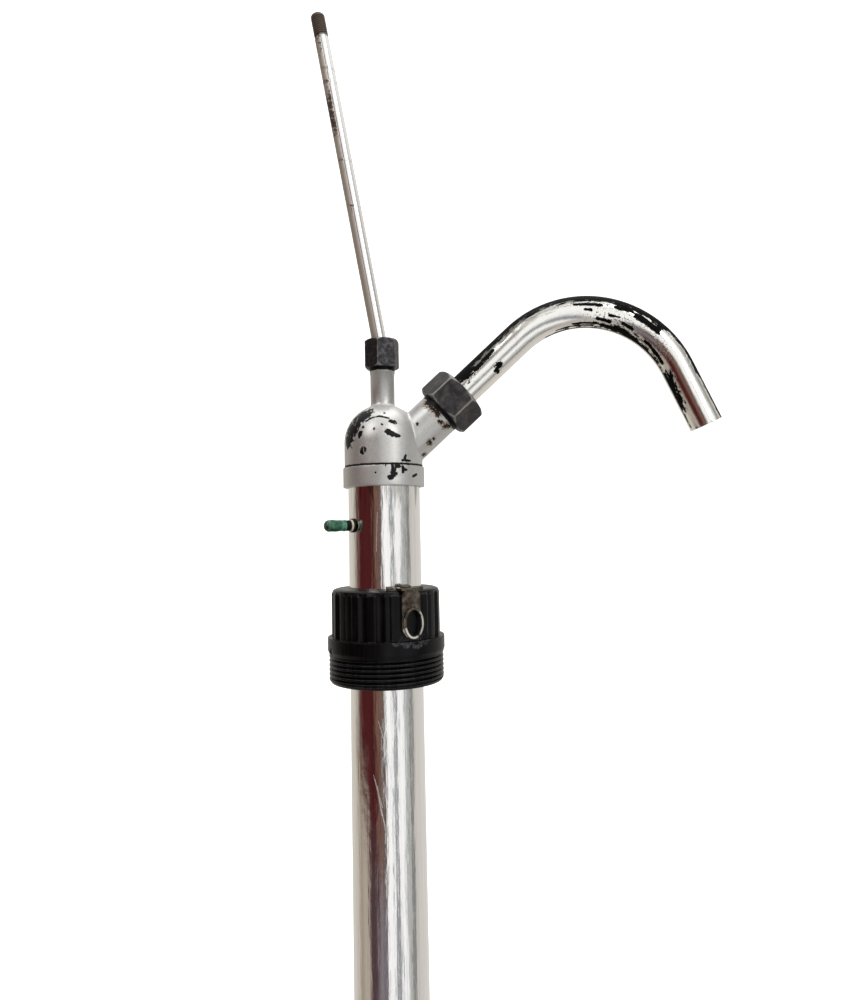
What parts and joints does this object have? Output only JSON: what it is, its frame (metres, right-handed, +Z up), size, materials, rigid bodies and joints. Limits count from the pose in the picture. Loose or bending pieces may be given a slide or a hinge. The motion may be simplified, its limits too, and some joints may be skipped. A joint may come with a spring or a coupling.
{
  "type": "drum barrel pump",
  "caption": "Hand lift pump for a drum: plated tube in a threaded bung adapter, domed head with a bent spout on a union nut, leaning pump rod and internal piston and foot valves.",
  "frame": {"origin": "on the pump tube's axis at the underside of the bung adapter's flange, where its thread starts", "axes": "+Z up along the pump tube, +X towards the spout, +Y away from the side the peg and the clip are on"},
  "size_m": [0.2193, 0.061, 1.2075],
  "materials": {
    "black_plastic": "moulded black nylon, satin, rubbed grey on the edges",
    "seal_rubber": "smooth nitrile",
    "clip_steel": "dull worn steel, brown in the corners",
    "rivet_steel": "dull steel",
    "tube_chrome": "bright plated, finely scratched along its length",
    "head_paint": "satin silver paint over black primer, chipped",
    "gasket_fibre": "black fibre",
    "packing_fibre": "braided packing",
    "brass": "machined",
    "gland_nut_black": "black finish, edges rubbed bright",
    "rod_steel": "bright steel with rust specks",
    "ball_steel": "polished",
    "plain_steel": "plain",
    "peg_vinyl": "soft glossy vinyl",
    "peg_black": "black plastic",
    "peg_ivory": "ivory plastic",
    "spout_chrome": "plated, with remains of black paint",
    "spout_nut_iron": "worn charcoal, grey edges, brown dust"
  },
  "bodies": {
    "adapter": {"adapter_body": "black_plastic", "tube_seal": "seal_rubber", "seal_clip": "clip_steel", "clip_rivet": "rivet_steel"},
    "pump": {"pump_tube": "tube_chrome", "tube_collar": "head_paint", "head_gasket": "gasket_fibre", "head_casting": "head_paint", "gland_packing": "packing_fibre", "gland_follower": "brass", "foot_valve_body": "brass", "ball_cage_pin": "plain_steel", "strainer": "plain_steel", "peg_stud": "plain_steel", "peg_lock_ring": "peg_black", "peg_washer": "peg_ivory", "peg_collar": "peg_black", "peg_sleeve": "peg_vinyl"},
    "gland_nut": {"gland_nut": "gland_nut_black"},
    "rod": {"pump_rod": "rod_steel", "piston_body": "brass", "piston_cup": "seal_rubber", "valve_stop": "plain_steel", "piston_nuts": "plain_steel"},
    "piston_valve": {"piston_valve": "seal_rubber"},
    "foot_ball": {"foot_ball": "ball_steel"},
    "spout": {"spout_tube": "spout_chrome", "spout_ferrule": "brass", "spout_seal": "seal_rubber"},
    "spout_nut": {"spout_nut": "spout_nut_iron"}
  },
  "joints": [
    {"name": "tube_slide", "type": "slide", "parent": "adapter", "child": "pump", "axis": [0, 0, 1], "range_m": [-0.028, 0.78]},
    {"name": "gland_nut_turn", "type": "hinge", "parent": "pump", "child": "gland_nut", "pos_m": [0, 0, 0.158], "axis": [0, 0, 1], "continuous": true},
    {"name": "rod_slide", "type": "slide", "parent": "pump", "child": "rod", "axis": [0, 0, 1], "range_m": [0, 0.66]},
    {"name": "piston_valve_lift", "type": "slide", "parent": "rod", "child": "piston_valve", "axis": [0, 0, 1], "range_m": [0, 0.003]},
    {"name": "foot_ball_lift", "type": "slide", "parent": "pump", "child": "foot_ball", "axis": [0, 0, 1], "range_m": [0, 0.006]},
    {"name": "spout_nut_turn", "type": "hinge", "parent": "pump", "child": "spout_nut", "pos_m": [0, 0, 0.097], "axis": [0.7373, 0, 0.6756], "continuous": true},
    {"name": "spout_swivel", "type": "hinge", "parent": "pump", "child": "spout", "pos_m": [0, 0, 0.097], "axis": [0.7373, 0, 0.6756], "continuous": true}
  ]
}
